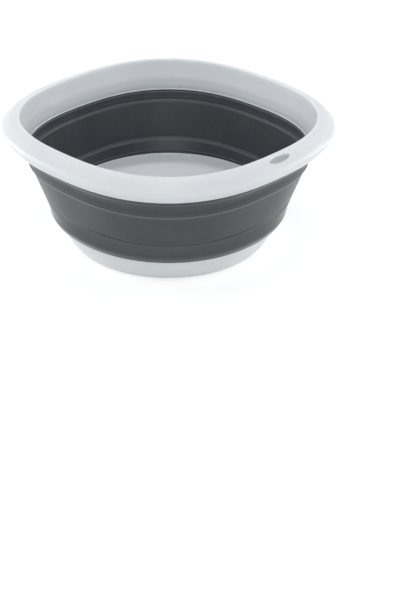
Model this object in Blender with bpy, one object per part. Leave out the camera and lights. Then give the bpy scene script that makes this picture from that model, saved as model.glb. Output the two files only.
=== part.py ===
"""Collapsible washbasin: a rigid rim, a folding wall and a rigid base tray.

The basin stands on the origin with +Z up and its four sides square to X and Y.
Seen from above it is a rounded square at the rim and a circle at the foot, so
every piece is a loft through rings of unlike shape, each ring one squarish or
round outline at its own height. The wall is three stiff bands with a thin fold
between each two. Folding flat, the rim drops over the base along the Z axis.
All sizes are in metres.
"""

import math
from typing import NamedTuple

import bmesh
import bpy
import numpy as np
from mathutils import Matrix

COLLECTION_NAME = "collapsible_washbasin"
CUTTER_COLLECTION_NAME = "cutters"

# Outline of the rim's inner edge, the crest: half its side, and how much
# further its corners reach than its sides
CREST_HALF_SIDE = 0.1587
CREST_CORNER_REACH = 0.0120

# How far each lower ring steps in from the ring above it, and its own corners
LIP_INSET = 0.0071
LIP_CORNER_REACH = 0.0104
UPPER_FOLD_INSET = 0.0034
UPPER_FOLD_CORNER_REACH = 0.0102
LOWER_FOLD_INSET = 0.0128
LOWER_FOLD_CORNER_REACH = 0.0080
TRAY_LIP_INSET = 0.0054
TRAY_LIP_CORNER_REACH = 0.0025
FOOT_INSET = 0.0200

# Heights, stacked from the ground to the crest
TRAY_HEIGHT = 0.0430
LOWER_BAND_RISE = 0.0170
MIDDLE_BAND_HEIGHT = 0.0460
UPPER_BAND_RISE = 0.0120
RIM_WALL_DEPTH = 0.0360

# Rim: a flat land outside the crest, a rounded shoulder and a curled skirt
RIM_WALL = 0.0022
CREST_ROUND = 0.0014
LAND_WIDTH = 0.0110
LAND_FALL = 0.0023
FLANGE_WIDTH = 0.0213
FLANGE_DROP = 0.0110
SKIRT_DROP = 0.0159
SKIRT_CURL = 0.0090
SHOULDER_STEPS = 4
SKIRT_STEPS = 4

# Hanging slot through the land, in the middle of the +X side
SLOT_LENGTH = 0.0320
SLOT_WIDTH = 0.0086
SLOT_SETBACK = 0.0098
CUT_OVERRUN = 0.0040
SLOT_SIDES = 32

# Folding wall
UPPER_BAND_WALL = 0.0018
UPPER_BAND_END_WALL = 0.0021
UPPER_BAND_BOND = 0.0130
UPPER_BAND_LAP = 0.0065
LIP_REVEAL = 0.0012
UPPER_BEAD_HEIGHT = 0.0018
UPPER_BEAD_PROUD = 0.0008
MIDDLE_BAND_WALL = 0.0022
LOWER_BAND_WALL = 0.0028
LOWER_BAND_BOND = 0.0120
LOWER_BAND_EDGE_WALL = 0.0026
LOWER_BAND_EDGE_ROUND = 0.0012
LOWER_BEAD_HEIGHT = 0.0017
LOWER_BEAD_SETBACK = 0.0004
LOWER_BAND_BULGE_SHARE = 0.75
LOWER_BAND_STEPS = 5

# Base tray
TRAY_WALL = 0.0020
FLOOR_WALL = 0.0022
FOOT_RECESS = 0.0020
FOOT_RING_WIDTH = 0.0060
FLOOR_EDGE_INSET = 0.0005
TRAY_CURVE_SHARE = 0.56
TRAY_HEIGHT_SHARES = (0.02, 0.07, 0.16, 0.30, 0.50, 0.72, 1.0)
TRAY_BOND_STEPS = 3

# Clearances: bonded faces, and faces that slide past each other
BOND_GAP = 0.0003
SLIDE_GAP = 0.0004

# Points round each ring, and the angle past which an edge stays sharp
RING_POINTS = 72
SHARP_EDGE_DEGREES = 35.0


class Ring(NamedTuple):
    """A level outline round the Z axis: a squircle, or a circle with no reach."""

    half_side: float
    corner_reach: float
    height: float

    def moved(self, out=0.0, up=0.0):
        """Return the ring grown outwards all round and raised."""
        return Ring(self.half_side + out, self.corner_reach, self.height + up)

    def toward(self, other, plan_share, height_share):
        """Return a ring part of the way to another, in plan and in height."""
        return Ring(
            self.half_side + (other.half_side - self.half_side) * plan_share,
            self.corner_reach + (other.corner_reach - self.corner_reach) * plan_share,
            self.height + (other.height - self.height) * height_share,
        )

    def at_height(self, other, height):
        """Return the ring on the straight wall between this ring and another."""
        share = (height - self.height) / (other.height - self.height)
        return self.toward(other, share, share)

    def points(self):
        """Return the outline's points: |x|^n + |y|^n = side^n, read by angle."""
        ratio = (self.half_side + self.corner_reach) / self.half_side
        power = 1.0 / (0.5 - math.log2(ratio))
        angle = np.linspace(0.0, 2.0 * math.pi, RING_POINTS, endpoint=False)
        cosine, sine = np.cos(angle), np.sin(angle)
        spread = (np.abs(cosine) ** power + np.abs(sine) ** power) ** (1.0 / power)
        radius = self.half_side / spread
        level = np.full_like(radius, self.height)
        return np.stack((radius * cosine, radius * sine, level), axis=1)


# Rings that the pieces share: the inner face of the wall, top to bottom
TRAY_TOP = TRAY_HEIGHT
LOWER_FOLD_HEIGHT = TRAY_TOP + LOWER_BAND_RISE
UPPER_FOLD_HEIGHT = LOWER_FOLD_HEIGHT + MIDDLE_BAND_HEIGHT
LIP_HEIGHT = UPPER_FOLD_HEIGHT + UPPER_BAND_RISE
CREST_HEIGHT = LIP_HEIGHT + RIM_WALL_DEPTH

CREST = Ring(CREST_HALF_SIDE, CREST_CORNER_REACH, CREST_HEIGHT)
LIP = Ring(CREST.half_side - LIP_INSET, LIP_CORNER_REACH, LIP_HEIGHT)
UPPER_FOLD = Ring(LIP.half_side - UPPER_FOLD_INSET, UPPER_FOLD_CORNER_REACH, UPPER_FOLD_HEIGHT)
LOWER_FOLD = Ring(UPPER_FOLD.half_side - LOWER_FOLD_INSET, LOWER_FOLD_CORNER_REACH, LOWER_FOLD_HEIGHT)
TRAY_LIP = Ring(LOWER_FOLD.half_side - TRAY_LIP_INSET, TRAY_LIP_CORNER_REACH, TRAY_TOP)
FOOT = Ring(TRAY_LIP.half_side - FOOT_INSET, 0.0, 0.0)


def clear_scene():
    """Remove every object that the scene starts with."""
    for scene_object in list(bpy.data.objects):
        bpy.data.objects.remove(scene_object, do_unlink=True)


def make_collection(name):
    """Return a new collection linked to the scene."""
    collection = bpy.data.collections.new(name)
    bpy.context.scene.collection.children.link(collection)
    return collection


def make_material(name, colour, roughness):
    """Return a Principled material of one colour."""
    material = bpy.data.materials.new(name)
    material.use_nodes = True
    shader = material.node_tree.nodes["Principled BSDF"]
    shader.inputs["Base Color"].default_value = (*colour, 1.0)
    shader.inputs["Roughness"].default_value = roughness
    shader.inputs["Metallic"].default_value = 0.0
    return material


def pale_plastic(name):
    """Rigid polypropylene: cool near-white with a satin surface."""
    return make_material(name, (0.69, 0.72, 0.75), 0.38)


def dark_rubber(name):
    """Thermoplastic rubber: dark neutral grey, matt."""
    return make_material(name, (0.070, 0.073, 0.083), 0.55)


def add_faces_between(mesh, lower, upper):
    """Bridge two rings of vertices with quads."""
    count = len(lower)
    for index in range(count):
        after = (index + 1) % count
        mesh.faces.new((lower[index], lower[after], upper[after], upper[index]))


def loft(name, rings, closed_profile, material, parent, collection):
    """Make one solid from a profile of rings.

    A closed profile joins its last ring to its first and makes a hoop. An open
    one is capped at both ends with a flat disc. The object's origin is on the
    Z axis, at the height of its lowest ring.
    """
    base_height = min(ring.height for ring in rings)
    mesh = bmesh.new()
    loops = []
    for ring in rings:
        points = ring.moved(up=-base_height).points()
        loops.append([mesh.verts.new(point) for point in points])
    for lower, upper in zip(loops, loops[1:]):
        add_faces_between(mesh, lower, upper)
    if closed_profile:
        add_faces_between(mesh, loops[-1], loops[0])
    else:
        mesh.faces.new(loops[0])
        mesh.faces.new(loops[-1])
    bmesh.ops.recalc_face_normals(mesh, faces=mesh.faces)
    data = bpy.data.meshes.new(name)
    mesh.to_mesh(data)
    mesh.free()
    data.shade_smooth()
    data.set_sharp_from_angle(angle=math.radians(SHARP_EDGE_DEGREES))
    data.materials.append(material)
    piece = bpy.data.objects.new(name, data)
    piece.location = (0.0, 0.0, base_height)
    piece.parent = parent
    collection.objects.link(piece)
    return piece


def make_slider(name, collection):
    """Return an empty on the Z axis, along which its pieces slide."""
    slider = bpy.data.objects.new(name, None)
    slider.empty_display_type = "SINGLE_ARROW"
    collection.objects.link(slider)
    return slider


def tray_outer(height_share):
    """Return the tray's outer ring: it swells fast near the foot, then stands up."""
    top = TRAY_LIP.moved(out=TRAY_WALL)
    return FOOT.toward(top, height_share ** TRAY_CURVE_SHARE, height_share)


def tray_inner(height_share):
    """Return the tray's inner ring, between the floor's edge and the lip."""
    floor_edge = FOOT.moved(out=-FLOOR_EDGE_INSET, up=FOOT_RECESS + FLOOR_WALL)
    return floor_edge.toward(TRAY_LIP, height_share ** TRAY_CURVE_SHARE, height_share)


def base_tray_rings():
    """Profile of the base tray: under the floor, up outside, down inside."""
    foot_inner = FOOT.moved(out=-FOOT_RING_WIDTH)
    rings = [foot_inner.moved(out=-FOOT_RECESS, up=FOOT_RECESS), foot_inner, FOOT]
    rings += [tray_outer(share) for share in TRAY_HEIGHT_SHARES]
    rings += [tray_inner(share) for share in reversed(TRAY_HEIGHT_SHARES)]
    rings.append(tray_inner(0.0))
    return rings


def lower_band_rings():
    """Profile of the lower band: bonded outside the tray's wall and over its lip."""
    seat_start_share = 1.0 - LOWER_BAND_BOND / TRAY_HEIGHT
    seat_shares = np.linspace(seat_start_share, 1.0, TRAY_BOND_STEPS + 1)
    seat = [tray_outer(share).moved(out=BOND_GAP) for share in seat_shares]
    over_lip_outer = seat[-1].moved(up=BOND_GAP)
    over_lip_inner = TRAY_LIP.moved(out=BOND_GAP, up=BOND_GAP)
    fold_outer = lower_fold_ledge()
    fold_inner = fold_outer.moved(out=-LOWER_BAND_WALL)
    edge = seat[0].moved(out=LOWER_BAND_EDGE_WALL)
    edge_top = edge.moved(up=LOWER_BAND_EDGE_ROUND)
    edge_bottom = edge.moved(out=-LOWER_BAND_EDGE_ROUND)
    rings = seat[:-1] + [over_lip_outer, over_lip_inner, fold_inner, fold_outer]
    for step in range(1, LOWER_BAND_STEPS):
        share = 1.0 - step / LOWER_BAND_STEPS
        rings.append(edge_top.toward(fold_outer, share ** LOWER_BAND_BULGE_SHARE, share))
    return rings + [edge_top, edge_bottom]


def lower_fold_ledge():
    """Return the outer edge of the lower band's top, inside the middle band's foot."""
    return LOWER_FOLD.moved(out=-SLIDE_GAP, up=-LOWER_BEAD_HEIGHT / 2.0)


def lower_fold_rings():
    """Profile of the lower fold: a round-topped hoop on the lower band's top."""
    outer = lower_fold_ledge().moved(out=-LOWER_BEAD_SETBACK, up=BOND_GAP)
    width = LOWER_BAND_WALL - 2.0 * LOWER_BEAD_SETBACK
    inner = outer.moved(out=-width)
    middle = outer.moved(out=-width / 2.0, up=LOWER_BEAD_HEIGHT)
    half_up = LOWER_BEAD_HEIGHT / 2.0
    return [inner, inner.moved(up=half_up), middle, outer.moved(up=half_up), outer]


def middle_outer(height):
    """Return the middle band's outer ring at a height."""
    upper = UPPER_FOLD.moved(out=MIDDLE_BAND_WALL)
    lower = LOWER_FOLD.moved(out=MIDDLE_BAND_WALL)
    return lower.at_height(upper, height)


def middle_band_rings():
    """Profile of the middle band: a straight-sided panel between the folds."""
    outer_foot = middle_outer(LOWER_FOLD_HEIGHT)
    outer_top = middle_outer(UPPER_FOLD_HEIGHT)
    return [LOWER_FOLD, UPPER_FOLD, outer_top, outer_foot]


def upper_band_foot():
    """Return the inner ring of the upper band's lower edge, outside the middle band."""
    return middle_outer(UPPER_FOLD_HEIGHT - UPPER_BAND_LAP).moved(out=SLIDE_GAP)


def rim_wall_outer(height):
    """Return the outer face of the rim's inner wall at a height."""
    return LIP.at_height(CREST, height).moved(out=RIM_WALL)


def upper_band_rings():
    """Profile of the upper band: bonded outside the rim's wall, down to the fold."""
    foot_inner = upper_band_foot()
    past_fold = middle_outer(UPPER_FOLD_HEIGHT).moved(out=SLIDE_GAP)
    under_lip = LIP.moved(out=LIP_REVEAL, up=-BOND_GAP)
    seat_foot = rim_wall_outer(LIP_HEIGHT).moved(out=BOND_GAP, up=-BOND_GAP)
    seat_top = rim_wall_outer(LIP_HEIGHT + UPPER_BAND_BOND).moved(out=BOND_GAP)
    outer_top = seat_top.moved(out=UPPER_BAND_WALL)
    outer_lip = seat_foot.moved(out=UPPER_BAND_WALL)
    foot_outer = foot_inner.moved(out=UPPER_BAND_END_WALL)
    return [foot_inner, past_fold, under_lip, seat_foot, seat_top, outer_top, outer_lip, foot_outer]


def upper_fold_rings():
    """Profile of the upper fold: a hoop under the upper band, a little proud of it."""
    top_inner = upper_band_foot().moved(up=-BOND_GAP)
    foot_height = top_inner.height - UPPER_BEAD_HEIGHT
    foot_inner = middle_outer(foot_height).moved(out=SLIDE_GAP)
    top_outer = top_inner.moved(out=UPPER_BAND_END_WALL)
    proud = top_outer.moved(out=UPPER_BEAD_PROUD, up=-UPPER_BEAD_HEIGHT / 2.0)
    foot_outer = foot_inner.moved(out=UPPER_BAND_END_WALL)
    return [foot_inner, top_inner, top_outer, proud, foot_outer]


def flange_ring(out, up):
    """Return a ring of the rim's flange, placed from the crest."""
    return CREST.moved(out=out, up=up)


def shoulder_rings(wall):
    """Return the shoulder's quarter round, a wall's thickness inside its face."""
    width = FLANGE_WIDTH - LAND_WIDTH - wall
    drop = FLANGE_DROP - LAND_FALL - wall
    rings = []
    for step in range(SHOULDER_STEPS):
        angle = 0.5 * math.pi * step / SHOULDER_STEPS
        out = LAND_WIDTH + width * math.sin(angle)
        up = -FLANGE_DROP + drop * math.cos(angle)
        rings.append(flange_ring(out, up))
    return rings


def skirt_rings(wall):
    """Return the skirt's arc: upright at the widest ring, curling in below it."""
    radius = (SKIRT_CURL ** 2 + SKIRT_DROP ** 2) / (2.0 * SKIRT_CURL)
    sweep = math.asin(SKIRT_DROP / radius)
    rings = []
    for step in range(SKIRT_STEPS + 1):
        angle = sweep * step / SKIRT_STEPS
        out = FLANGE_WIDTH - radius + (radius - wall) * math.cos(angle)
        up = -FLANGE_DROP - (radius - wall) * math.sin(angle)
        rings.append(flange_ring(out, up))
    return rings


def rim_rings():
    """Profile of the rim: up the inner wall, over the crest and down the skirt, and back."""
    face_top = LIP.at_height(CREST, CREST_HEIGHT - CREST_ROUND)
    cut_back = CREST_ROUND * (1.0 - math.sqrt(0.5))
    crest_edge = flange_ring(cut_back, -cut_back)
    crest_top = flange_ring(CREST_ROUND, 0.0)
    outside = [LIP, face_top, crest_edge, crest_top] + shoulder_rings(0.0) + skirt_rings(0.0)
    inside = shoulder_rings(RIM_WALL) + skirt_rings(RIM_WALL)
    under_land = rim_wall_outer(CREST_HEIGHT - RIM_WALL - LAND_FALL)
    return outside + inside[::-1] + [under_land, rim_wall_outer(LIP_HEIGHT)]


def cut_hanging_slot(rim, cutters):
    """Cut an oval slot down through the land, long way along the side."""
    mesh = bmesh.new()
    bmesh.ops.create_cone(
        mesh, cap_ends=True, segments=SLOT_SIDES, radius1=1.0, radius2=1.0, depth=1.0
    )
    depth = 2.0 * (LAND_FALL + RIM_WALL + CUT_OVERRUN)
    size = Matrix.Diagonal((SLOT_WIDTH / 2.0, SLOT_LENGTH / 2.0, depth, 1.0))
    bmesh.ops.transform(mesh, matrix=size, verts=mesh.verts)
    data = bpy.data.meshes.new("slot_cutter")
    mesh.to_mesh(data)
    mesh.free()
    cutter = bpy.data.objects.new("slot_cutter", data)
    cutter.location = (CREST_HALF_SIDE + SLOT_SETBACK, 0.0, CREST_HEIGHT)
    cutter.hide_render = True
    cutter.display_type = "WIRE"
    cutters.objects.link(cutter)
    cut = rim.modifiers.new("hanging_slot", "BOOLEAN")
    cut.operation = "DIFFERENCE"
    cut.solver = "EXACT"
    cut.object = cutter


def main():
    """Build the basin, open and standing on the ground."""
    clear_scene()
    parts = make_collection(COLLECTION_NAME)
    cutters = make_collection(CUTTER_COLLECTION_NAME)
    rim_slider = make_slider("rim_slider", parts)
    middle_slider = make_slider("middle_band_slider", parts)
    base = make_slider("base_mount", parts)

    tray_plastic = pale_plastic("tray_plastic")
    lower_rubber = dark_rubber("lower_band_rubber")
    lower_fold_rubber = dark_rubber("lower_fold_rubber")
    middle_rubber = dark_rubber("middle_band_rubber")
    upper_fold_rubber = dark_rubber("upper_fold_rubber")
    upper_rubber = dark_rubber("upper_band_rubber")
    rim_plastic = pale_plastic("rim_plastic")

    loft("base_tray", base_tray_rings(), False, tray_plastic, base, parts)
    loft("lower_wall_band", lower_band_rings(), True, lower_rubber, base, parts)
    loft("lower_fold_web", lower_fold_rings(), True, lower_fold_rubber, base, parts)
    loft("middle_wall_band", middle_band_rings(), True, middle_rubber, middle_slider, parts)
    loft("upper_fold_web", upper_fold_rings(), True, upper_fold_rubber, rim_slider, parts)
    loft("upper_wall_band", upper_band_rings(), True, upper_rubber, rim_slider, parts)
    rim = loft("rim_frame", rim_rings(), True, rim_plastic, rim_slider, parts)
    cut_hanging_slot(rim, cutters)
    bpy.context.view_layer.update()


main()
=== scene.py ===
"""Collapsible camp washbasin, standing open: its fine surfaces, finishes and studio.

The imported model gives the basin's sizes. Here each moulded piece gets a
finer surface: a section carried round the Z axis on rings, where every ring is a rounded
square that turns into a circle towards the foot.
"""

import logging
import math
from dataclasses import dataclass
from enum import Enum
from typing import Any, Mapping, NamedTuple, Sequence, Union

import bmesh
import bpy
import numpy as np
from mathutils import Matrix, Vector


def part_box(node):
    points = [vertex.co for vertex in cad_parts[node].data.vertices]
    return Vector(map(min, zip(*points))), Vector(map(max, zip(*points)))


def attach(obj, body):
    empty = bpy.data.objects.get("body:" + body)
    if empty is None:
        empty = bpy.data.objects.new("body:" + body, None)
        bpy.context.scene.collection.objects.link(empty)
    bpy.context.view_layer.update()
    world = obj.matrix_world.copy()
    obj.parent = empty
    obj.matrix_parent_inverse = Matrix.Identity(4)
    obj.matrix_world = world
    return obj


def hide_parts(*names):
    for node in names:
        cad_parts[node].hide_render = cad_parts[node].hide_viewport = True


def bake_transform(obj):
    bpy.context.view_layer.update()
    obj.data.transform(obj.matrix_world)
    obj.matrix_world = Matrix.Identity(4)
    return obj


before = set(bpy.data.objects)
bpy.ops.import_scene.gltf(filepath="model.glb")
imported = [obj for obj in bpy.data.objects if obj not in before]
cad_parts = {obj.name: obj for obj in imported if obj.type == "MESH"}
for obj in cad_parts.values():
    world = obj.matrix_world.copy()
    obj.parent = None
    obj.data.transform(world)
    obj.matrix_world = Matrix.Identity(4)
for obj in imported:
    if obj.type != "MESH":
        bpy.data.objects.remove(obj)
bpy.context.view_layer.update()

LOG = logging.getLogger("washbasin")

# Columns round a hoop, the usual step along a section, and the steps in a round
COLUMNS = 360
SECTION_STEP = 0.0020
ROUND_STEPS = 6

# Rounding of a corner that names none, and the radius that counts as a full edge
SMALL_ROUND = 0.00025
EDGE_RADIUS = 0.0012

# How far over the lower fold and under the upper one a bending piece's two ends are worked out
FOLD_START = 0.0035
FOLD_END = 0.0130

# The most of a stretch that the round at one of its ends may take
LARGEST_CUT_SHARE = 0.48

# How near the slot's window another ring of the rim's section may be, the steps in the
# quarter turn of the slot's edges, and the rounds that find the ring through a place
SLOT_MARGIN = 0.0006
SLOT_EDGE_STEPS = 3
RING_SEARCH_ROUNDS = 4

# How much each finer octave of a noise counts, and the middle of a noise's values
NOISE_ROUGHNESS = 0.55
NOISE_MIDDLE = 0.5

# A Mix node's sockets for colours: its factor, its two colours and its result
MIX_FACTOR, MIX_FIRST, MIX_SECOND, MIX_RESULT = 0, 6, 7, 2

WHITE = (1.0, 1.0, 1.0, 1.0)

Colour = tuple[float, float, float]
Point = tuple[float, float, float]


class Rides(Enum):
    """What a piece moves with when the basin folds."""

    BASE = "base"
    RIM = "rim"
    BOTH = "base and rim, bending between them"


class Line(Enum):
    """A line of the basin that a section's corner is placed from."""

    TRAY_LIP = "tray_lip"
    LOWER_FOLD = "lower_fold"
    UPPER_FOLD = "upper_fold"
    LIP = "lip"
    CREST = "crest"


class Ring(NamedTuple):
    """A level outline round the Z axis: a rounded square, or a circle with no reach."""

    half_side: float
    reach: float
    height: float

    def moved(self, out: float = 0.0, up: float = 0.0) -> "Ring":
        """Return the ring grown outwards all round and raised."""
        return Ring(self.half_side + out, self.reach, self.height + up)

    def toward(self, other: "Ring", plan_share: float, height_share: float) -> "Ring":
        """Return a ring part of the way to another.

        Args:
            other: The ring that it goes towards.
            plan_share: The share of the way in half side and in reach.
            height_share: The share of the way in height.

        Returns:
            The ring in between.
        """
        return Ring(
            self.half_side + (other.half_side - self.half_side) * plan_share,
            self.reach + (other.reach - self.reach) * plan_share,
            self.height + (other.height - self.height) * height_share,
        )


class Corner(NamedTuple):
    """A ring that a section turns at, and how far off the turn's rounding starts."""

    ring: Ring
    rounding: float = SMALL_ROUND


class Mark(NamedTuple):
    """A corner of a section, placed from one of the basin's lines.

    It stands as far above the line as `up` says, and as far outside the inner line of
    the wall at that height as `out` says.
    """

    line: Line
    up: float
    out: float
    rounding: float = SMALL_ROUND


class Turn(NamedTuple):
    """A corner of the rim's flange, placed from the crest, and its rounding."""

    out: float
    up: float
    rounding: float


class Wave(NamedTuple):
    """A noise: how many waves there are in a metre, and its octaves."""

    count: float
    octaves: float


class Grid(NamedTuple):
    """A surface's points, its faces and how much each point lies on an edge."""

    points: np.ndarray
    faces: list[list[int]]
    edges: np.ndarray


def ring_radius(half_side: np.ndarray, reach: np.ndarray, angle: np.ndarray) -> np.ndarray:
    """Radius of a rounded square at an angle.

    The outline is |x|^n + |y|^n = h^n, so the radius is h / (|cos|^n + |sin|^n)^(1/n).
    The power n is 1 / (1/2 - log2((h + reach) / h)), which puts the corners the reach
    further out than the sides.

    Args:
        half_side: Half the outline's side, h.
        reach: How much further the corners are from the axis than the sides.
        angle: Angle round the Z axis, in radians.

    Returns:
        The radius, in the shape that the three arrays give together.
    """
    power = 1.0 / (0.5 - np.log2((half_side + reach) / half_side))
    spread = np.abs(np.cos(angle)) ** power + np.abs(np.sin(angle)) ** power
    return half_side / spread ** (1.0 / power)


def rounded_section(corners: Sequence[Corner], closed: bool) -> np.ndarray:
    """Round a section's corners and cut its straight stretches into steps.

    A round at the corner c from a to b is (1-t)^2 a + 2t(1-t) c + t^2 b, for t from 0 to
    1, where a and b lie on the stretches before and after c, and it has more steps where
    those two cuts are longer. Steps along a stretch are at shares (1 - cos s) / 2, for s
    from 0 to pi, so they are short next to the rounds.

    Args:
        corners: The section's corners in order, with the solid on the right-hand side.
        closed: Whether the last corner is joined to the first.

    Returns:
        A row (half side, reach, height) for each ring of the section.
    """
    rings = np.array([corner.ring for corner in corners])
    count = len(rings)
    rounds = []
    for index, corner in enumerate(corners):
        here = rings[index]
        at_end = not closed and index in (0, count - 1)
        if corner.rounding == 0.0 or at_end:
            rounds.append(here[None, :])
            continue
        before = rings[index - 1] - here
        after = rings[(index + 1) % count] - here
        length_before, length_after = np.linalg.norm(before), np.linalg.norm(after)
        cut = min(corner.rounding, LARGEST_CUT_SHARE * min(length_before, length_after))
        start = here + before * (cut / length_before)
        end = here + after * (cut / length_after)
        steps = ROUND_STEPS + int(2.0 * cut / SECTION_STEP)
        t = np.linspace(0.0, 1.0, steps + 1)[:, None]
        rounds.append((1 - t) ** 2 * start + 2 * t * (1 - t) * here + t ** 2 * end)
    rows = []
    for index, turn in enumerate(rounds):
        rows.append(turn)
        if index == count - 1 and not closed:
            break
        start, end = turn[-1], rounds[(index + 1) % count][0]
        steps = int(np.linalg.norm(end - start) / SECTION_STEP)
        turns = np.linspace(0.0, math.pi, steps + 2)[1:-1, None]
        rows.append(start + (end - start) * (1.0 - np.cos(turns)) / 2.0)
    return np.concatenate(rows)


def edge_shares(section: np.ndarray, closed: bool) -> np.ndarray:
    """How much each ring of a section lies on an outward edge, from 0 to 1.

    It is the turn at the ring over the length of the steps there, as a share of the same
    for a round of the edge radius. A hollow counts as 0.

    Args:
        section: The section's rings, with the solid on the right-hand side.
        closed: Whether the section is closed.

    Returns:
        One share for each ring.
    """
    flat = section[:, [0, 2]]
    ahead = np.roll(flat, -1, axis=0) - flat
    behind = flat - np.roll(flat, 1, axis=0)
    if not closed:
        ahead[-1], behind[0] = behind[-1], ahead[0]
    cross = behind[:, 0] * ahead[:, 1] - behind[:, 1] * ahead[:, 0]
    turn = -np.arctan2(cross, (behind * ahead).sum(axis=1))
    length = (np.linalg.norm(ahead, axis=1) + np.linalg.norm(behind, axis=1)) / 2.0
    return np.clip(turn / length * EDGE_RADIUS, 0.0, 1.0)


def strip_faces(index: np.ndarray, closed: bool) -> np.ndarray:
    """List the quads of a grid whose rows run round in loops.

    Args:
        index: Point numbers, one row for each loop.
        closed: Whether the last loop is joined to the first.

    Returns:
        The four point numbers of each quad, as (loop, column, corner).
    """
    near = index if closed else index[:-1]
    far = np.roll(index, -1, axis=0) if closed else index[1:]
    corners = (near, np.roll(near, -1, axis=1), np.roll(far, -1, axis=1), far)
    return np.stack(corners, axis=2)


def hoop_points(section: np.ndarray) -> np.ndarray:
    """Carry a section round the Z axis.

    The point of ring i at angle a is (r cos a, r sin a, height i), with r the ring's
    radius at a. The first column is on the X axis.

    Args:
        section: Rings as rows (half side, reach, height).

    Returns:
        The points, as (ring, column, coordinate).
    """
    angles = np.linspace(0.0, 2.0 * math.pi, COLUMNS, endpoint=False)
    radius = ring_radius(section[:, :1], section[:, 1:2], angles)
    height = np.broadcast_to(section[:, 2:3], radius.shape)
    return np.stack((radius * np.cos(angles), radius * np.sin(angles), height), axis=2)


def point_numbers(points: np.ndarray) -> np.ndarray:
    """Return the numbers of a grid's points, one row for each loop."""
    return np.arange(points.shape[0] * points.shape[1]).reshape(points.shape[:2])


def hoop(section: np.ndarray) -> Grid:
    """Carry a closed section round the axis.

    Args:
        section: The section's rings, of which the last is joined to the first.

    Returns:
        The closed surface.
    """
    points = hoop_points(section)
    faces = strip_faces(point_numbers(points), closed=True).reshape(-1, 4).tolist()
    return Grid(points.reshape(-1, 3), faces, np.repeat(edge_shares(section, True), COLUMNS))


def dish(section: np.ndarray) -> Grid:
    """Carry an open section round the axis and close its two ends with fans.

    Args:
        section: Rings from near the axis, out, and back to near the axis.

    Returns:
        The closed surface, with a pole on the axis at either end.
    """
    points = hoop_points(section)
    index = point_numbers(points)
    faces = strip_faces(index, closed=False).reshape(-1, 4).tolist()
    poles = np.array([[0.0, 0.0, section[0, 2]], [0.0, 0.0, section[-1, 2]]])
    for number, row in enumerate((index[0], index[-1])):
        pole = np.full(COLUMNS, index.size + number)
        faces += np.stack((pole, row, np.roll(row, -1)), axis=1).tolist()
    edges = np.append(np.repeat(edge_shares(section, False), COLUMNS), (0.0, 0.0))
    return Grid(np.concatenate((points.reshape(-1, 3), poles)), faces, edges)


def mesh_object(name: str, grid: Grid) -> bpy.types.Object:
    """Put a grid into a smooth mesh object with its faces pointing outwards.

    Args:
        name: The object's name.
        grid: The surface.

    Returns:
        The new object, linked to the scene.
    """
    data = bpy.data.meshes.new(name)
    data.from_pydata(grid.points.tolist(), [], grid.faces)
    edge = data.attributes.new("edge", "FLOAT", "POINT")
    edge.data.foreach_set("value", grid.edges.astype(np.float32))
    mesh = bmesh.new()
    mesh.from_mesh(data)
    bmesh.ops.recalc_face_normals(mesh, faces=mesh.faces)
    mesh.to_mesh(data)
    mesh.free()
    data.shade_smooth()
    piece = bpy.data.objects.new(name, data)
    bpy.context.scene.collection.objects.link(piece)
    return piece


class Value:
    """A number that a socket carries; Python's operators add the Math nodes."""

    def __init__(self, tree: "Tree", socket: bpy.types.NodeSocket) -> None:
        """Hold the socket and the tree that it belongs to."""
        self.tree = tree
        self.socket = socket

    def _math(self, operation: str, first: "Number", second: "Number") -> "Value":
        """Add a Math node.

        Args:
            operation: What the node does.
            first: Its first number.
            second: Its second number.

        Returns:
            The node's result.
        """
        inputs = {0: first, 1: second}
        node = self.tree.node("ShaderNodeMath", {"operation": operation}, inputs)
        return Value(self.tree, node.outputs[0])

    def __add__(self, other: "Number") -> "Value":
        """Return self + other."""
        return self._math("ADD", self, other)

    def __radd__(self, other: "Number") -> "Value":
        """Return other + self."""
        return self._math("ADD", other, self)

    def __sub__(self, other: "Number") -> "Value":
        """Return self - other."""
        return self._math("SUBTRACT", self, other)

    def __rsub__(self, other: "Number") -> "Value":
        """Return other - self."""
        return self._math("SUBTRACT", other, self)

    def __mul__(self, other: "Number") -> "Value":
        """Return self * other."""
        return self._math("MULTIPLY", self, other)

    def __rmul__(self, other: "Number") -> "Value":
        """Return other * self."""
        return self._math("MULTIPLY", other, self)


Number = Union[Value, float]


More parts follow.
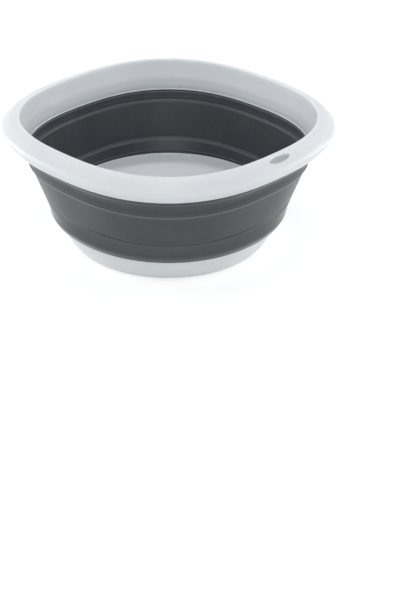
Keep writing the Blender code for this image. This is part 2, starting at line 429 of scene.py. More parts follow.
class Tree:
    """A node tree, with one method that adds any node."""

    def __init__(self, owner: Union[bpy.types.Material, bpy.types.World]) -> None:
        """Hold an owner's node tree, emptied.

        Args:
            owner: The material or world that the tree belongs to.
        """
        owner.use_nodes = True
        self.nodes = owner.node_tree.nodes
        self.links = owner.node_tree.links
        self.nodes.clear()

    def node(
        self, kind: str, settings: Mapping[str, Any], inputs: Mapping[Union[str, int], Any]
    ) -> bpy.types.Node:
        """Add a node.

        Args:
            kind: The node's type.
            settings: Its properties, set first; `stops` are a ramp's (place, colour) pairs.
            inputs: A number, colour, socket or Value for each socket, by name or number.

        Returns:
            The new node.
        """
        node = self.nodes.new(kind)
        for name, value in settings.items():
            if name == "stops":
                self._set_stops(node, value)
            else:
                setattr(node, name, value)
        for key, value in inputs.items():
            source = value.socket if isinstance(value, Value) else value
            if isinstance(source, bpy.types.NodeSocket):
                self.links.new(source, node.inputs[key])
            else:
                node.inputs[key].default_value = source
        return node

    @staticmethod
    def _set_stops(node: bpy.types.Node, stops: Sequence[tuple[float, Colour]]) -> None:
        """Give a ramp its stops.

        Args:
            node: The ramp.
            stops: The places and their colours, in order.
        """
        elements = node.color_ramp.elements
        while len(elements) < len(stops):
            elements.new(1.0)
        for element, (place, colour) in zip(elements, stops):
            element.position = place
            element.color = (*colour, 1.0)

    def place(self, stretch: Point = (1.0, 1.0, 1.0)) -> bpy.types.NodeSocket:
        """Return Object coordinates, scaled along the axes."""
        source = self.node("ShaderNodeTexCoord", {}, {}).outputs["Object"]
        return self.node("ShaderNodeMapping", {}, {"Vector": source, "Scale": stretch}).outputs[0]

    def noise(self, place: bpy.types.NodeSocket, wave: Wave) -> Value:
        """Add a noise.

        Args:
            place: The coordinates that it is laid out in.
            wave: Its waves and its octaves.

        Returns:
            A number from 0 to 1.
        """
        inputs = {
            "Vector": place,
            "Scale": wave.count,
            "Detail": wave.octaves,
            "Roughness": NOISE_ROUGHNESS,
        }
        return Value(self, self.node("ShaderNodeTexNoise", {}, inputs).outputs[0])

    def attribute(self, name: str) -> Value:
        """Return a mesh attribute's number."""
        settings = {"attribute_name": name, "attribute_type": "GEOMETRY"}
        return Value(self, self.node("ShaderNodeAttribute", settings, {}).outputs["Fac"])

    def ramp(self, factor: Number, stops: Sequence[tuple[float, Colour]]) -> bpy.types.NodeSocket:
        """Return the colour that a ramp has at a factor."""
        return self.node("ShaderNodeValToRGB", {"stops": stops}, {"Fac": factor}).outputs[0]

    def mix(self, factor: Number, first: Any, second: Any) -> bpy.types.NodeSocket:
        """Blend two colours.

        Args:
            factor: 0 for the first colour and 1 for the second.
            first: A colour, or the socket of one.
            second: The other colour, or the socket of one.

        Returns:
            The blend.
        """
        first, second = [(*c, 1.0) if isinstance(c, tuple) else c for c in (first, second)]
        inputs = {MIX_FACTOR: factor, MIX_FIRST: first, MIX_SECOND: second}
        return self.node("ShaderNodeMix", {"data_type": "RGBA"}, inputs).outputs[MIX_RESULT]

    def bump(self, height: Value, depth: float, below: Any = None) -> bpy.types.NodeSocket:
        """Turn a height into a relief.

        Args:
            height: The height, from 0 to 1.
            depth: How deep the relief is.
            below: The normal of a relief that this one lies on, or None.

        Returns:
            The normal of the relief.
        """
        inputs = {"Height": height, "Distance": depth, "Strength": 1.0}
        if below is not None:
            inputs["Normal"] = below
        return self.node("ShaderNodeBump", {}, inputs).outputs[0]

    def surface(self, inputs: Mapping[Union[str, int], Any]) -> None:
        """Finish a material with a Principled shader of these inputs."""
        shader = self.node("ShaderNodeBsdfPrincipled", {}, inputs)
        self.node("ShaderNodeOutputMaterial", {}, {"Surface": shader.outputs[0]})


@dataclass(frozen=True)
class PlasticFinish:
    """Injection-moulded polypropylene: satin, cool near-white, faintly clouded."""

    name: str
    slot: str
    colour: Colour = (0.735, 0.765, 0.79)
    cloud_colour: Colour = (0.70, 0.735, 0.765)
    cloud: Wave = Wave(14.0, 3.0)
    cloud_places: tuple[float, float] = (0.3, 0.7)
    roughness: float = 0.30
    roughness_spread: float = 0.05
    edge_polish: float = 0.05
    refraction: float = 1.49
    depth_share: float = 0.70
    depth_scale: float = 0.008
    depth_reach: Point = (1.0, 0.95, 0.90)
    scuff: Wave = Wave(160.0, 4.0)
    scuff_stretch: Point = (1.0, 1.0, 0.15)
    sink: Wave = Wave(22.0, 1.0)
    sink_depth: float = 0.00006
    grain: Wave = Wave(1500.0, 2.0)
    grain_depth: float = 0.000005

    def material(self) -> bpy.types.Material:
        """Make the material: clouded colour, scuffed gloss, shallow sinks and fine grain.

        Returns:
            The material.
        """
        material = bpy.data.materials.new(self.name)
        tree = Tree(material)
        place = tree.place()
        cloud_stops = tuple(zip(self.cloud_places, (self.cloud_colour, self.colour)))
        scuff = tree.noise(tree.place(self.scuff_stretch), self.scuff)
        polish = tree.attribute("edge") * self.edge_polish
        sink = tree.bump(tree.noise(place, self.sink), self.sink_depth)
        grain = tree.bump(tree.noise(place, self.grain), self.grain_depth, sink)
        tree.surface({
            "Base Color": tree.ramp(tree.noise(place, self.cloud), cloud_stops),
            "Roughness": self.roughness + (scuff - NOISE_MIDDLE) * self.roughness_spread - polish,
            "IOR": self.refraction,
            "Subsurface Weight": self.depth_share,
            "Subsurface Radius": self.depth_reach,
            "Subsurface Scale": self.depth_scale,
            "Normal": grain,
        })
        return material


@dataclass(frozen=True)
class RubberFinish:
    """Thermoplastic rubber: dark neutral grey, matt, with a silvery sheen at a slant."""

    name: str
    slot: str
    colour: Colour = (0.043, 0.046, 0.054)
    bloom_colour: Colour = (0.057, 0.061, 0.070)
    # A paler colour on rounded edges and ridges: a painted highlight where light would catch them
    edge_highlight_colour: Colour = (0.150, 0.157, 0.172)
    edge_highlight_share: float = 0.8
    bloom: Wave = Wave(16.0, 4.0)
    bloom_places: tuple[float, float] = (0.35, 0.65)
    draw: Wave = Wave(90.0, 3.0)
    draw_share: float = 0.4
    draw_stretch: Point = (1.0, 1.0, 0.10)
    draw_depth: float = 0.00005
    roughness: float = 0.36
    roughness_spread: float = 0.12
    grain: Wave = Wave(1200.0, 2.0)
    grain_depth: float = 0.00002
    refraction: float = 1.38
    sheen: float = 0.20
    sheen_roughness: float = 0.30
    sheen_tint: Colour = (0.88, 0.94, 1.0)

    def material(self) -> bpy.types.Material:
        """Make the material: bloomed colour, a painted highlight along the edges, and drawn lines
        under fine grain.

        Returns:
            The material.
        """
        material = bpy.data.materials.new(self.name)
        tree = Tree(material)
        place = tree.place()
        drawn = tree.noise(tree.place(self.draw_stretch), self.draw)
        bloom = tree.noise(place, self.bloom) * (1.0 - self.draw_share) + drawn * self.draw_share
        bloom_stops = tuple(zip(self.bloom_places, (self.colour, self.bloom_colour)))
        colour = tree.ramp(bloom, bloom_stops)
        # Rounded edges and ridges turn paler: a painted highlight, not a colour of the rubber itself
        edge = tree.attribute("edge") * self.edge_highlight_share
        relief = tree.bump(drawn, self.draw_depth)
        grain = tree.bump(tree.noise(place, self.grain), self.grain_depth, relief)
        tree.surface({
            "Base Color": tree.mix(edge, colour, self.edge_highlight_colour),
            "Roughness": self.roughness + (drawn - NOISE_MIDDLE) * self.roughness_spread,
            "IOR": self.refraction,
            "Sheen Weight": self.sheen,
            "Sheen Roughness": self.sheen_roughness,
            "Sheen Tint": (*self.sheen_tint, 1.0),
            "Normal": grain,
        })
        return material


@dataclass(frozen=True)
class WallSizes:
    """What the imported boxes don't give of the wall's inner line.

    A reach is how much further a ring's corners are out than its sides, and an inset or
    a taper is how much smaller a ring's half side is than that of the ring above it.
    """

    crest_reach: float = 0.0120
    lip_reach: float = 0.0104
    lip_inset: float = 0.0071
    upper_fold_reach: float = 0.0102
    lower_fold_reach: float = 0.0080
    band_wall: float = 0.0022
    band_taper: float = 0.0128
    tray_reach: float = 0.0025
    tray_wall: float = 0.0020
    foot_inset: float = 0.0200


@dataclass(frozen=True)
class BasinLines:
    """The rings on the wall's inner line, which every piece is placed from."""

    crest: Ring
    lip: Ring
    upper_fold: Ring
    lower_fold: Ring
    tray_lip: Ring
    foot: Ring
    tray_curve_share: float = 0.56

    @classmethod
    def from_frame(cls, flange_width: float, sizes: WallSizes) -> "BasinLines":
        """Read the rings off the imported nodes' boxes.

        Args:
            flange_width: How far the rim reaches out from its crest.
            sizes: What the boxes don't give.

        Returns:
            The basin's lines.
        """
        rim_low, rim_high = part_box("rim_frame")
        band_low, band_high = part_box("middle_wall_band")
        tray_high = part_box("base_tray")[1]
        crest_side = rim_high.x - flange_width
        upper_side = band_high.x - sizes.band_wall
        lower_side = upper_side - sizes.band_taper
        tray_side = tray_high.x - sizes.tray_wall
        return cls(
            crest=Ring(crest_side, sizes.crest_reach, rim_high.z),
            lip=Ring(crest_side - sizes.lip_inset, sizes.lip_reach, rim_low.z),
            upper_fold=Ring(upper_side, sizes.upper_fold_reach, band_high.z),
            lower_fold=Ring(lower_side, sizes.lower_fold_reach, band_low.z),
            tray_lip=Ring(tray_side, sizes.tray_reach, tray_high.z),
            foot=Ring(tray_side - sizes.foot_inset, 0.0, 0.0),
        )

    def tray(self, height_share: float, out: float = 0.0) -> Ring:
        """Return the tray's ring: it swells fast near the foot, then stands up."""
        plan_share = height_share ** self.tray_curve_share
        return self.foot.toward(self.tray_lip.moved(out=out), plan_share, height_share)

    def wall(self, height: float, out: float) -> Ring:
        """Return a ring outside the wall's inner line.

        Args:
            height: The ring's height.
            out: How far outside the line it is.

        Returns:
            The ring, with the reach that the line has at that height.
        """
        if height < self.tray_lip.height:
            return self.tray(height / self.tray_lip.height).moved(out=out)
        chain = np.array((self.tray_lip, self.lower_fold, self.upper_fold, self.lip, self.crest))
        half_side = np.interp(height, chain[:, 2], chain[:, 0])
        return Ring(half_side + out, np.interp(height, chain[:, 2], chain[:, 1]), height)

    def corners(self, marks: Sequence[Mark]) -> list[Corner]:
        """Return the corners that a piece's marks stand for."""
        places = [getattr(self, mark.line.value).height + mark.up for mark in marks]
        return [Corner(self.wall(z, m.out), m.rounding) for z, m in zip(places, marks)]


@dataclass
class Moulding:
    """A moulded piece or set of pieces: its lines, its finish and its material."""

    lines: BasinLines
    finish: Union[PlasticFinish, RubberFinish]

    def __post_init__(self) -> None:
        """Make the material that all of its pieces share."""
        self.material = self.finish.material()

    def add(
        self, name: str, grid: Grid, rides: Rides, replaced: str, material: bpy.types.Material
    ) -> bpy.types.Object:
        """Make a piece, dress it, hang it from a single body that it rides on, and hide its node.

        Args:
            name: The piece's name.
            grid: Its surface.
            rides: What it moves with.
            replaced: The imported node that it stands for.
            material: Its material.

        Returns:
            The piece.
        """
        piece = mesh_object(name, grid)
        piece.data.materials.append(material)
        if rides is Rides.BOTH:
            start = Vector((0.0, 0.0, self.lines.lower_fold.height + FOLD_START))
            end = Vector((0.0, 0.0, self.lines.upper_fold.height - FOLD_END))
            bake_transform(piece)
        else:
            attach(piece, rides.value)
        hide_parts(replaced)
        LOG.info("%s: %d faces, rides on %s", name, len(grid.faces), rides.value)
        return piece


@dataclass
class Rim(Moulding):
    """The rigid rim: inner wall with a lip, crest, land, shoulder and curled skirt."""

    wall: float = 0.0022
    flange_width: float = 0.0213
    lip_marks: tuple[Mark, ...] = (
        Mark(Line.LIP, -0.0008, 0.0000, 0.0004),
        Mark(Line.LIP, -0.0002, 0.0000, 0.0003),
        Mark(Line.LIP, 0.0006, 0.0011, 0.0005),
        Mark(Line.LIP, 0.0048, 0.0000, 0.0018),
        Mark(Line.CREST, 0.0, 0.0, 0.0013),
    )
    crest_bead: tuple[Turn, ...] = (
        Turn(0.0016, 0.0, 0.0007),
        Turn(0.0025, -0.0005, 0.0004),
    )
    crease: tuple[Turn, ...] = (
        Turn(0.0096, -0.0019, 0.0005),
        Turn(0.0106, -0.0028, 0.0005),
        Turn(0.0115, -0.0028, 0.0004),
    )
    nose: Turn = Turn(0.0238, -0.0118, 0.0100)
    skirt_edge: Turn = Turn(0.0128, -0.0250, 0.0009)
    channel_round: float = 0.0015
    lip_back_round: float = 0.0005
    slot_length: float = 0.0320
    slot_width: float = 0.0086
    slot_out: float = 0.0098
    slot_round: float = 0.0006
    window_outs: tuple[float, ...] = (
        0.0033, 0.0050, 0.0068, 0.0084, 0.0093, 0.0099, 0.0105,
        0.0111, 0.0117, 0.0128, 0.0145, 0.0165,
    )
    window_columns: int = 8
    window_shares: tuple[float, ...] = (0.35, 0.7, 1.0)

    def flange(self, out: float, up: float) -> Ring:
        """Return a ring of the flange, placed from the crest."""
        return self.lines.crest.moved(out, up)

    def face(self, inset: float) -> list[Corner]:
        """Shoulder, nose and skirt, inset by a wall.

        Each of the two stretches is moved in along its normal. The moved nose is where
        they meet, at -inset (n + m) / (1 + n . m) from the nose, with n and m the
        normals, and its round is shorter by inset |n - m| / |n + m|.

        Args:
            inset: How far inside the outer face the corners are.

        Returns:
            The crease's outer end, the nose and the skirt's edge.
        """
        turns = (self.crease[-1], self.nose, self.skirt_edge)
        ends = np.array([(turn.out, turn.up) for turn in turns])
        steps = np.diff(ends, axis=0)
        normals = np.stack((-steps[:, 1], steps[:, 0]), axis=1)
        normals /= np.linalg.norm(normals, axis=1)[:, None]
        both = normals.sum(axis=0)
        apart = np.linalg.norm(normals[0] - normals[1]) / np.linalg.norm(both)
        moved = ends - inset * np.array((normals[0], both * 2.0 / (both @ both), normals[1]))
        rounds = [turn.rounding for turn in turns]
        rounds[1] -= inset * apart
        return [Corner(self.flange(*place), size) for place, size in zip(moved, rounds)]

    def section(self) -> np.ndarray:
        """Section up the inner wall, over the crest, down the skirt and back inside it.

        Returns:
            A row (half side, reach, height) for each ring.
        """
        outside, inside = self.face(0.0), self.face(self.wall)
        crest = self.lines.crest
        under = crest.height + self.crease[0].up - self.wall
        foot = self.lip_marks[0].up
        land = self.crest_bead + self.crease[:-1]
        corners = self.lines.corners(self.lip_marks)
        corners += [Corner(self.flange(turn.out, turn.up), turn.rounding) for turn in land]
        corners += outside + inside[::-1]
        corners += [Corner(self.lines.wall(under, self.wall), self.channel_round)]
        corners += [Corner(self.lines.lip.moved(self.wall, foot), self.lip_back_round)]
        return rounded_section(corners, closed=True)

    def on_land(self, rows: np.ndarray) -> np.ndarray:
        """Return which rings of a run are higher than the nose."""
        return rows[:, 2] > self.lines.crest.height + self.nose.up

    def with_window(self, rows: np.ndarray) -> tuple[np.ndarray, int]:
        """Put rings at the window's places into the flat part of a section.

        Args:
            rows: A run of the section that leads outwards over or under the land.

        Returns:
            The run with its new rings, and the number of the first of them.
        """
        crest = self.lines.crest
        outs = np.array(self.window_outs)
        out = rows[:, 0] - crest.half_side
        level = self.on_land(rows)
        heights = np.interp(outs, out[level], rows[level, 2])
        rings = np.stack((crest.half_side + outs, np.full_like(outs, crest.reach), heights), axis=1)
        inside = (out > outs[0] - SLOT_MARGIN) & (out < outs[-1] + SLOT_MARGIN)
        replaced = np.flatnonzero(level & inside)
        first, last = replaced[0], replaced[-1]
        return np.concatenate((rows[:first], rings, rows[last + 1:])), int(first)

    def surface_height(self, plan: np.ndarray, rows: np.ndarray) -> np.ndarray:
        """Height of the land, or of its underside, at places in plan.

        The ring through a place is found in a few rounds: the half side grows by what
        the place's distance is over the ring's radius there.

        Args:
            plan: Places as (x, y).
            rows: The run of the section that the places lie on.

        Returns:
            The height at each place.
        """
        crest = self.lines.crest
        angle = np.arctan2(plan[:, 1], plan[:, 0])
        distance = np.hypot(plan[:, 0], plan[:, 1])
        half_side = distance.copy()
        for _ in range(RING_SEARCH_ROUNDS):
            half_side += distance - ring_radius(half_side, np.array(crest.reach), angle)
        level = self.on_land(rows)
        return np.interp(half_side, rows[level, 0], rows[level, 2])

    def window_loop(self, index: np.ndarray, near: int, far: int) -> np.ndarray:
        """List the point numbers round the slot's window.

        Args:
            index: Point numbers of the rim's grid.
            near: The window's row next to the crest.
            far: Its row furthest from the crest.

        Returns:
            The numbers in order round the window.
        """
        step = 1 if far > near else -1
        columns = np.arange(-self.window_columns, self.window_columns + 1)
        rows = np.arange(near, far + step, step)
        return np.concatenate((
            index[near, columns[:-1]],
            index[rows[:-1], columns[-1]],
            index[far, columns[:0:-1]],
            index[rows[:0:-1], columns[0]],
        ))

    def sleeve(self, top: np.ndarray, top_rows: np.ndarray, under_rows: np.ndarray) -> np.ndarray:
        """Loops from the window in the land, down through the slot, to its underside.

        The slot is the ellipse (a cos t, b sin t) round its centre, with t taken from the
        window's own points. Loops on the land lie between the window and the ellipse, and
        those of a round are moved in by r (1 - sin s) and down by r (1 - cos s).

        Args:
            top: The window's points in the land.
            top_rows: The run of the section over the land.
            under_rows: The run of the section under it.

        Returns:
            The loops, as (loop, point, coordinate).
        """
        centre = np.array((self.lines.crest.half_side + self.slot_out, 0.0))
        window = (top[:, :2] - centre) / np.abs(top[:, :2] - centre).max(axis=0)
        turn = np.arctan2(window[:, 1], window[:, 0])
        circle = np.stack((np.cos(turn), np.sin(turn)), axis=1)
        half = np.array((self.slot_width, self.slot_length)) / 2.0
        sides = []
        for rows, down in ((top_rows, -1.0), (under_rows, 1.0)):
            rim = centre + (half + self.slot_round) * circle
            loops = []
            for share in self.window_shares:
                plan = top[:, :2] + (rim - top[:, :2]) * share
                loops.append(np.column_stack((plan, self.surface_height(plan, rows))))
            for slant in np.linspace(0.0, math.pi / 2.0, SLOT_EDGE_STEPS + 1)[1:]:
                plan = centre + (half + self.slot_round * (1.0 - math.sin(slant))) * circle
                drop = down * self.slot_round * (1.0 - math.cos(slant))
                loops.append(np.column_stack((plan, self.surface_height(plan, rows) + drop)))
            sides.append(loops)
        return np.stack(sides[0] + sides[1][::-1])

    def grid(self) -> Grid:
        """Carry the section round, with the hanging slot cut through the land.

        The land and its underside each lose the faces of one window, and the sleeve's
        loops join the two windows.

        Returns:
            The closed surface.
        """
        section = self.section()
        widest = int(np.argmax(section[:, 0]))
        top_rows, top_first = self.with_window(section[:widest])
        under_rows, under_first = self.with_window(section[widest:][::-1])
        section = np.concatenate((top_rows, under_rows[::-1]))
        span = len(self.window_outs) - 1
        under_near = len(section) - 1 - under_first
        points = hoop_points(section)
        index = point_numbers(points)
        keep = np.ones(index.shape, dtype=bool)
        columns = np.arange(-self.window_columns, self.window_columns)
        keep[top_first:top_first + span, columns] = False
        keep[under_near - span:under_near, columns] = False
        faces = strip_faces(index, closed=True)[keep].tolist()
        top = self.window_loop(index, top_first, top_first + span)
        under = self.window_loop(index, under_near, under_near - span)
        points = points.reshape(-1, 3)
        loops = self.sleeve(points[top], top_rows, under_rows)
        new = point_numbers(loops) + len(points)
        faces += strip_faces(np.vstack((top, new, under)), closed=False).reshape(-1, 4).tolist()
        edges = np.repeat(edge_shares(section, True), COLUMNS)
        edges = np.append(edges, np.zeros(new.size))
        return Grid(np.concatenate((points, loops.reshape(-1, 3))), faces, edges)

    def build(self) -> None:
        """Make the rim."""
        self.add("rim", self.grid(), Rides.RIM, "rim_frame", self.material)


@dataclass
class FoldingWall(Moulding):
    """The rubber wall, as one moulding in five stretches: three bands and two folds.

    The upper and the lower band are thicker and burnished, so they have a finish of
    their own, darker and with more sheen.
    """

    band_finish: RubberFinish = RubberFinish(
        "band_rubber", "wall_rubber", colour=(0.031, 0.035, 0.043),
        bloom_colour=(0.043, 0.047, 0.057), refraction=1.50, sheen=0.85,
    )
    upper_wall: tuple[Mark, ...] = (
        Mark(Line.UPPER_FOLD, -0.0012, 0.0029),
        Mark(Line.UPPER_FOLD, 0.0007, 0.0023, 0.0003),
        Mark(Line.UPPER_FOLD, 0.0021, 0.0014, 0.0006),
        Mark(Line.LIP, -0.0027, 0.0009, 0.0008),
        Mark(Line.LIP, -0.0019, 0.0036, 0.0003),
        Mark(Line.LIP, 0.0122, 0.0034, 0.0004),
        Mark(Line.LIP, 0.0126, 0.0043, 0.0008),
        Mark(Line.LIP, -0.0010, 0.0044, 0.0020),
        Mark(Line.LIP, -0.0054, 0.0020, 0.0020),
        Mark(Line.UPPER_FOLD, 0.0026, 0.0025, 0.0030),
        Mark(Line.UPPER_FOLD, -0.0026, 0.0052, 0.0003),
        Mark(Line.UPPER_FOLD, -0.0027, 0.0034),
    )
    upper_bead: tuple[Mark, ...] = (
        Mark(Line.UPPER_FOLD, -0.0056, 0.0036),
        Mark(Line.UPPER_FOLD, -0.0028, 0.0034),
        Mark(Line.UPPER_FOLD, -0.0027, 0.0051),
        Mark(Line.UPPER_FOLD, -0.0043, 0.0066, 0.0006),
        Mark(Line.UPPER_FOLD, -0.0056, 0.0065, 0.0003),
    )
    middle_wall: tuple[Mark, ...] = (
        Mark(Line.LOWER_FOLD, 0.0021, 0.0000, 0.0004),
        Mark(Line.UPPER_FOLD, -0.0022, 0.0000, 0.0012),
        Mark(Line.UPPER_FOLD, 0.0002, 0.0021, 0.0005),
        Mark(Line.UPPER_FOLD, -0.0012, 0.0026),
        Mark(Line.UPPER_FOLD, -0.0046, 0.0028),
        Mark(Line.UPPER_FOLD, -0.0057, 0.0036),
        Mark(Line.UPPER_FOLD, -0.0057, 0.0062),
        Mark(Line.UPPER_FOLD, -0.0076, 0.0051, 0.0012),
        Mark(Line.UPPER_FOLD, -0.0200, 0.0043, 0.0060),
        Mark(Line.LOWER_FOLD, -0.0002, 0.0029, 0.0006),
        Mark(Line.LOWER_FOLD, -0.0003, 0.0012, 0.0003),
        Mark(Line.LOWER_FOLD, 0.0019, 0.0006),
    )
    lower_fold: tuple[Mark, ...] = (
        Mark(Line.LOWER_FOLD, -0.0006, -0.0030),
        Mark(Line.LOWER_FOLD, 0.0002, -0.0032, 0.0006),
        Mark(Line.LOWER_FOLD, 0.0020, -0.0006, 0.0008),
        Mark(Line.LOWER_FOLD, 0.0017, 0.0003),
        Mark(Line.LOWER_FOLD, -0.0002, 0.0009),
        Mark(Line.LOWER_FOLD, -0.0006, 0.0000),
    )
    lower_wall: tuple[Mark, ...] = (
        Mark(Line.TRAY_LIP, 0.0004, 0.0018),
        Mark(Line.TRAY_LIP, 0.0020, 0.0016, 0.0006),
        Mark(Line.TRAY_LIP, 0.0036, -0.0008, 0.0012),
        Mark(Line.LOWER_FOLD, -0.0011, -0.0029, 0.0003),
        Mark(Line.LOWER_FOLD, -0.0008, -0.0024),
        Mark(Line.LOWER_FOLD, -0.0008, -0.0002),
        Mark(Line.LOWER_FOLD, -0.0006, 0.0004),
        Mark(Line.LOWER_FOLD, -0.0006, 0.0008, 0.0002),
        Mark(Line.LOWER_FOLD, -0.0015, 0.0010, 0.0005),
        Mark(Line.LOWER_FOLD, -0.0044, 0.0039, 0.0024),
        Mark(Line.TRAY_LIP, 0.0050, 0.0061, 0.0030),
        Mark(Line.TRAY_LIP, 0.0010, 0.0074, 0.0030),
        Mark(Line.TRAY_LIP, -0.0046, 0.0088, 0.0040),
        Mark(Line.TRAY_LIP, -0.0112, 0.0068, 0.0006),
        Mark(Line.TRAY_LIP, -0.0118, 0.0052, 0.0003),
        Mark(Line.TRAY_LIP, -0.0118, 0.0021),
        Mark(Line.TRAY_LIP, -0.0060, 0.0021),
        Mark(Line.TRAY_LIP, 0.0004, 0.0023),
    )

    def build(self) -> None:
        """Make the wall's five stretches, from the rim down."""
        soft, band = self.material, self.band_finish.material()
        stretches = (
            ("upper_wall", self.upper_wall, Rides.RIM, "upper_wall_band", band),
            ("upper_fold_bead", self.upper_bead, Rides.BOTH, "upper_fold_web", soft),
            ("middle_wall", self.middle_wall, Rides.BOTH, "middle_wall_band", soft),
            ("lower_fold", self.lower_fold, Rides.BOTH, "lower_fold_web", soft),
            ("lower_wall", self.lower_wall, Rides.BASE, "lower_wall_band", band),
        )
        for name, marks, rides, replaced, material in stretches:
            section = rounded_section(self.lines.corners(marks), closed=True)
            self.add(name, hoop(section), rides, replaced, material)


@dataclass
class BaseTray(Moulding):
    """The rigid base: a shallow dish with a lip, a foot ring and a recessed floor."""

    wall: float = WallSizes.tray_wall
    floor_wall: float = 0.0022
    floor_inset: float = 0.0005
    floor_round: float = 0.0006
    step_width: float = 0.0012
    step_height: float = 0.0003
    step_round: float = 0.0008
    lip_round: float = 0.0007
    foot_round: float = 0.0006
    ring_width: float = 0.0060
    ring_round: float = 0.0005
    recess: float = 0.0020
    recess_round: float = 0.0008
    gate_radius: float = 0.0022
    gate_height: float = 0.0003
    curve_steps: int = 36

    def section(self) -> np.ndarray:
        """Section from the middle of the floor, up the wall, down outside and back.

        Both sides of the wall swell fast near the foot: at a share s of the height they
        have gone s to the power of the curve's share of the way out. Their rings are at
        the squares of even shares, so that they are close there.

        Returns:
            A row (half side, reach, height) for each ring, from pole to pole.
        """
        foot, lip = self.lines.foot, self.lines.tray_lip
        floor = self.recess + self.floor_wall
        shares = np.linspace(0.0, 1.0, self.curve_steps + 1)[1:-1] ** 2
        floor_edge = foot.moved(out=-self.floor_inset, up=floor)
        curve = self.lines.tray_curve_share
        inside = [floor_edge.toward(lip, share ** curve, share) for share in shares]
        outside = [self.lines.tray(share, out=self.wall) for share in shares]
        ring_edge = foot.moved(out=-self.ring_width)
        gate = Ring(self.gate_radius, 0.0, self.recess)
        step = floor_edge.moved(out=-self.step_width)
        corners = [Corner(Ring(self.gate_radius, 0.0, floor)), Corner(step, self.step_round)]
        corners += [Corner(floor_edge.moved(up=self.step_height), self.floor_round)]
        corners += [Corner(ring, 0.0) for ring in inside]
        corners += [Corner(lip, self.lip_round), Corner(lip.moved(out=self.wall), self.lip_round)]
        corners += [Corner(ring, 0.0) for ring in outside[::-1]]
        corners += [Corner(foot, self.foot_round), Corner(ring_edge, self.ring_round)]
        recess_edge = ring_edge.moved(out=-self.recess, up=self.recess)
        corners += [Corner(recess_edge, self.recess_round)]
        corners += [Corner(gate.moved(out=self.gate_height)), Corner(gate.moved(up=-self.gate_height))]
        corners += [Corner(Ring(self.gate_radius / 2.0, 0.0, gate.height - self.gate_height))]
        return rounded_section(corners, closed=False)

    def build(self) -> None:
        """Make the base tray."""
        self.add("base", dish(self.section()), Rides.BASE, "base_tray", self.material)


@dataclass(frozen=True)
class Lamp:
    """A soft square lamp that faces the basin."""

    name: str
    place: Point
    side: float
    watts: float


@dataclass(frozen=True)
class Viewpoint:
    """Where the picture is taken from, in a picture of 401 by 601 pixels."""

    place: Point = (1.09681, -1.09569, 0.80893)
    sight: Point = (-0.59571, 0.62564, -0.50370)
    roll: float = 0.0109
    focal_pixels: float = 1454.9
    long_side_pixels: float = 601.0
    sensor_width: float = 36.0
    furthest: float = 100.0


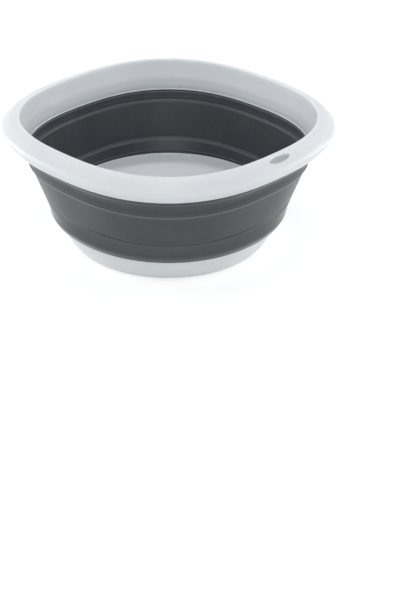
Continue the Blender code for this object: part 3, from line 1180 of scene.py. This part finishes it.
@dataclass
class Studio:
    """Pale floor, white surroundings, soft lamps and the camera."""

    view: Viewpoint = Viewpoint()
    lamps: tuple[Lamp, ...] = (
        Lamp("lamp_left", (-1.05, -0.60, 0.38), 0.7, 4.6),
        Lamp("lamp_right", (0.60, 1.05, 0.38), 0.7, 3.8),
        Lamp("lamp_front", (1.6, -1.6, 2.0), 1.6, 7.5),
        Lamp("lamp_top", (0.2, -0.2, 2.4), 0.8, 3.5),
    )
    aim: Point = (0.0, 0.0, 0.08)
    world_light: float = 0.77
    floor_half: float = 1.6
    floor_height: float = -0.0002
    floor_colour: Colour = (0.93, 0.93, 0.93)
    floor_roughness: float = 0.9
    floor_glow: float = 0.36

    def add_camera(self) -> None:
        """Place the camera: its sight, its upright and its roll round the sight."""
        view = self.view
        data = bpy.data.cameras.new("camera")
        data.sensor_width = view.sensor_width
        data.lens = view.focal_pixels / view.long_side_pixels * view.sensor_width
        data.clip_end = view.furthest
        sight = Vector(view.sight).normalized()
        right = sight.cross(Vector((0.0, 0.0, 1.0))).normalized()
        up = right.cross(sight)
        turned = right * math.cos(view.roll) + up * math.sin(view.roll)
        upright = up * math.cos(view.roll) - right * math.sin(view.roll)
        turn = Matrix((turned, upright, -sight)).transposed().to_4x4()
        camera = bpy.data.objects.new("camera", data)
        camera.matrix_world = Matrix.Translation(view.place) @ turn
        bpy.context.scene.collection.objects.link(camera)
        bpy.context.scene.camera = camera

    def add_lamps(self) -> None:
        """Hang the lamps, facing the basin."""
        for lamp in self.lamps:
            data = bpy.data.lights.new(lamp.name, "AREA")
            data.size = lamp.side
            data.energy = lamp.watts
            holder = bpy.data.objects.new(lamp.name, data)
            holder.location = lamp.place
            away = Vector(lamp.place) - Vector(self.aim)
            holder.rotation_euler = away.to_track_quat("Z", "Y").to_euler()
            bpy.context.scene.collection.objects.link(holder)

    @staticmethod
    def seen_share(tree: Tree) -> Value:
        """Tell what the camera sees, by itself, in a reflection or through a piece.

        Args:
            tree: The node tree that asks.

        Returns:
            1 for what it sees so, and 0 for what only gives light.
        """
        path = tree.node("ShaderNodeLightPath", {}, {}).outputs
        seen = Value(tree, path["Is Camera Ray"]) + Value(tree, path["Is Glossy Ray"])
        return seen + Value(tree, path["Is Transmission Ray"])

    def add_world(self) -> None:
        """Light from all round, which the camera and reflections see as white."""
        world = bpy.data.worlds.new("surroundings")
        tree = Tree(world)
        strength = self.world_light + self.seen_share(tree) * (1.0 - self.world_light)
        inputs = {"Color": WHITE, "Strength": strength}
        background = tree.node("ShaderNodeBackground", {}, inputs)
        tree.node("ShaderNodeOutputWorld", {}, {"Surface": background.outputs[0]})
        bpy.context.scene.world = world

    def add_floor(self) -> None:
        """Lay a pale floor that looks white, but keeps the basin's shadow."""
        half, low = self.floor_half, self.floor_height
        corners = [(-half, -half, low), (half, -half, low), (half, half, low), (-half, half, low)]
        data = bpy.data.meshes.new("floor")
        data.from_pydata(corners, [], [(0, 1, 2, 3)])
        material = bpy.data.materials.new("floor_paper")
        tree = Tree(material)
        tree.surface({
            "Base Color": (*self.floor_colour, 1.0),
            "Roughness": self.floor_roughness,
            "Specular IOR Level": 0.0,
            "Emission Color": WHITE,
            "Emission Strength": self.seen_share(tree) * self.floor_glow,
        })
        data.materials.append(material)
        floor = bpy.data.objects.new("floor", data)
        bpy.context.scene.collection.objects.link(floor)

    def build(self) -> None:
        """Set up the studio."""
        self.add_camera()
        self.add_lamps()
        self.add_world()
        self.add_floor()
        bpy.context.scene.view_settings.view_transform = "Standard"
        LOG.info("studio: %d lamps", len(self.lamps))


def main() -> None:
    """Build the rim, the wall, the base and the studio, in that order."""
    logging.basicConfig(level=logging.INFO, format="%(name)s: %(message)s")
    lines = BasinLines.from_frame(Rim.flange_width, WallSizes())
    Rim(lines, PlasticFinish("rim_polypropylene", "rim_plastic")).build()
    FoldingWall(lines, RubberFinish("wall_rubber", "wall_rubber")).build()
    BaseTray(lines, PlasticFinish("base_polypropylene", "base_plastic")).build()
    Studio().build()


if __name__ == "__main__":
    main()
